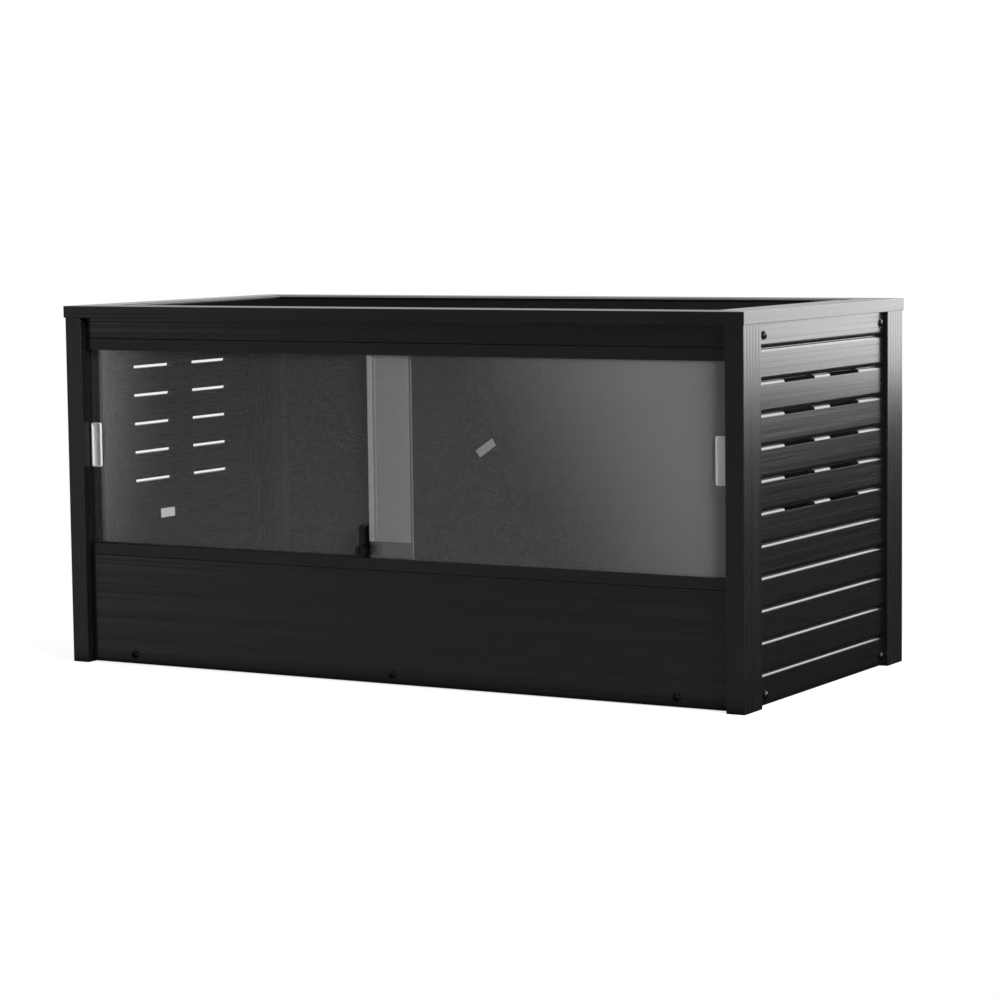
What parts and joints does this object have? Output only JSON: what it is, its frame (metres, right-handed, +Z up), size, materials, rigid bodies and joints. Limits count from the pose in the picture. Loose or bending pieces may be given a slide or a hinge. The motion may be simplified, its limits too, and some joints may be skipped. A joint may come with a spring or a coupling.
{
  "type": "reptile terrarium",
  "caption": "Wide black terrarium with planked vented sides, overlapping sliding glass doors, a wedge lock and a lift-off screen top.",
  "frame": {"origin": "on the floor, under the middle of the cap frame", "axes": "+X to the right seen from the front, -Y towards the front doors, +Z up"},
  "size_m": [1.2796, 0.6146, 0.61],
  "materials": {
    "black_frame": "satin black, fine lines along the extrusion",
    "black_plank": "satin black, hairline streaks along the plank",
    "black_sheet": "fine matte grain",
    "black_track": "satin extruded",
    "batten": "matte",
    "corner_key": "matte moulded",
    "screw": "black oxide, slightly glossy",
    "mesh": "satin black wire",
    "spline": "matte",
    "glass": "clear, polished edges",
    "pull": "satin bright",
    "clear_strip": "clear, glossy",
    "lock_black": "semi-gloss moulded",
    "lock_steel": "turned face"
  },
  "bodies": {
    "cabinet": {"post_front_left": "black_frame", "post_front_right": "black_frame", "post_back_left": "black_frame", "post_back_right": "black_frame", "left_slat_1": "black_plank", "left_slat_2": "black_plank", "left_slat_3": "black_plank", "left_slat_4": "black_plank", "left_slat_5": "black_plank", "left_slat_6": "black_plank", "left_slat_7": "black_plank", "left_slat_8": "black_plank", "left_slat_9": "black_plank", "left_slat_10": "black_plank", "left_slat_11": "black_plank", "left_slat_12": "black_plank", "right_slat_1": "black_plank", "right_slat_2": "black_plank", "right_slat_3": "black_plank", "right_slat_4": "black_plank", "right_slat_5": "black_plank", "right_slat_6": "black_plank", "right_slat_7": "black_plank", "right_slat_8": "black_plank", "right_slat_9": "black_plank", "right_slat_10": "black_plank", "right_slat_11": "black_plank", "right_slat_12": "black_plank", "back_panel": "black_sheet", "floor_panel": "black_sheet", "lower_front_board": "black_plank", "header_board": "black_plank", "bottom_track": "black_track", "top_track": "black_track", "front_battens": "batten", "back_battens": "batten", "cap_front": "black_frame", "cap_back": "black_frame", "cap_left": "black_frame", "cap_right": "black_frame", "cap_corner_keys": "corner_key", "side_screws": "screw", "front_screws": "screw", "back_screws": "screw"},
    "screen": {"screen_rail_front": "black_frame", "screen_rail_back": "black_frame", "screen_rail_left": "black_frame", "screen_rail_right": "black_frame", "screen_mesh": "mesh", "screen_spline": "spline"},
    "left_door": {"left_glass_pane": "glass", "left_finger_pull": "pull"},
    "right_door": {"right_glass_pane": "glass", "right_finger_pull": "pull", "gap_strip": "clear_strip"},
    "lock": {"lock_body": "lock_black"},
    "lock_key_plug": {"lock_plug": "lock_steel"}
  },
  "joints": [
    {"name": "left_door_slide", "type": "slide", "parent": "cabinet", "child": "left_door", "axis": [1, 0, 0], "range_m": [0, 0.53]},
    {"name": "right_door_slide", "type": "slide", "parent": "cabinet", "child": "right_door", "axis": [-1, 0, 0], "range_m": [0, 0.53]},
    {"name": "lock_pull_off", "type": "slide", "parent": "right_door", "child": "lock", "axis": [-1, 0, 0], "range_m": [0, 0.014]},
    {"name": "lock_key_turn", "type": "hinge", "parent": "lock", "child": "lock_key_plug", "pos_m": [-0.0509, -0.295, 0.2175], "axis": [0, -1, 0], "range_deg": [0, 90]},
    {"name": "screen_lift", "type": "slide", "parent": "cabinet", "child": "screen", "axis": [0, 0, 1], "range_m": [0, 0.15]}
  ]
}
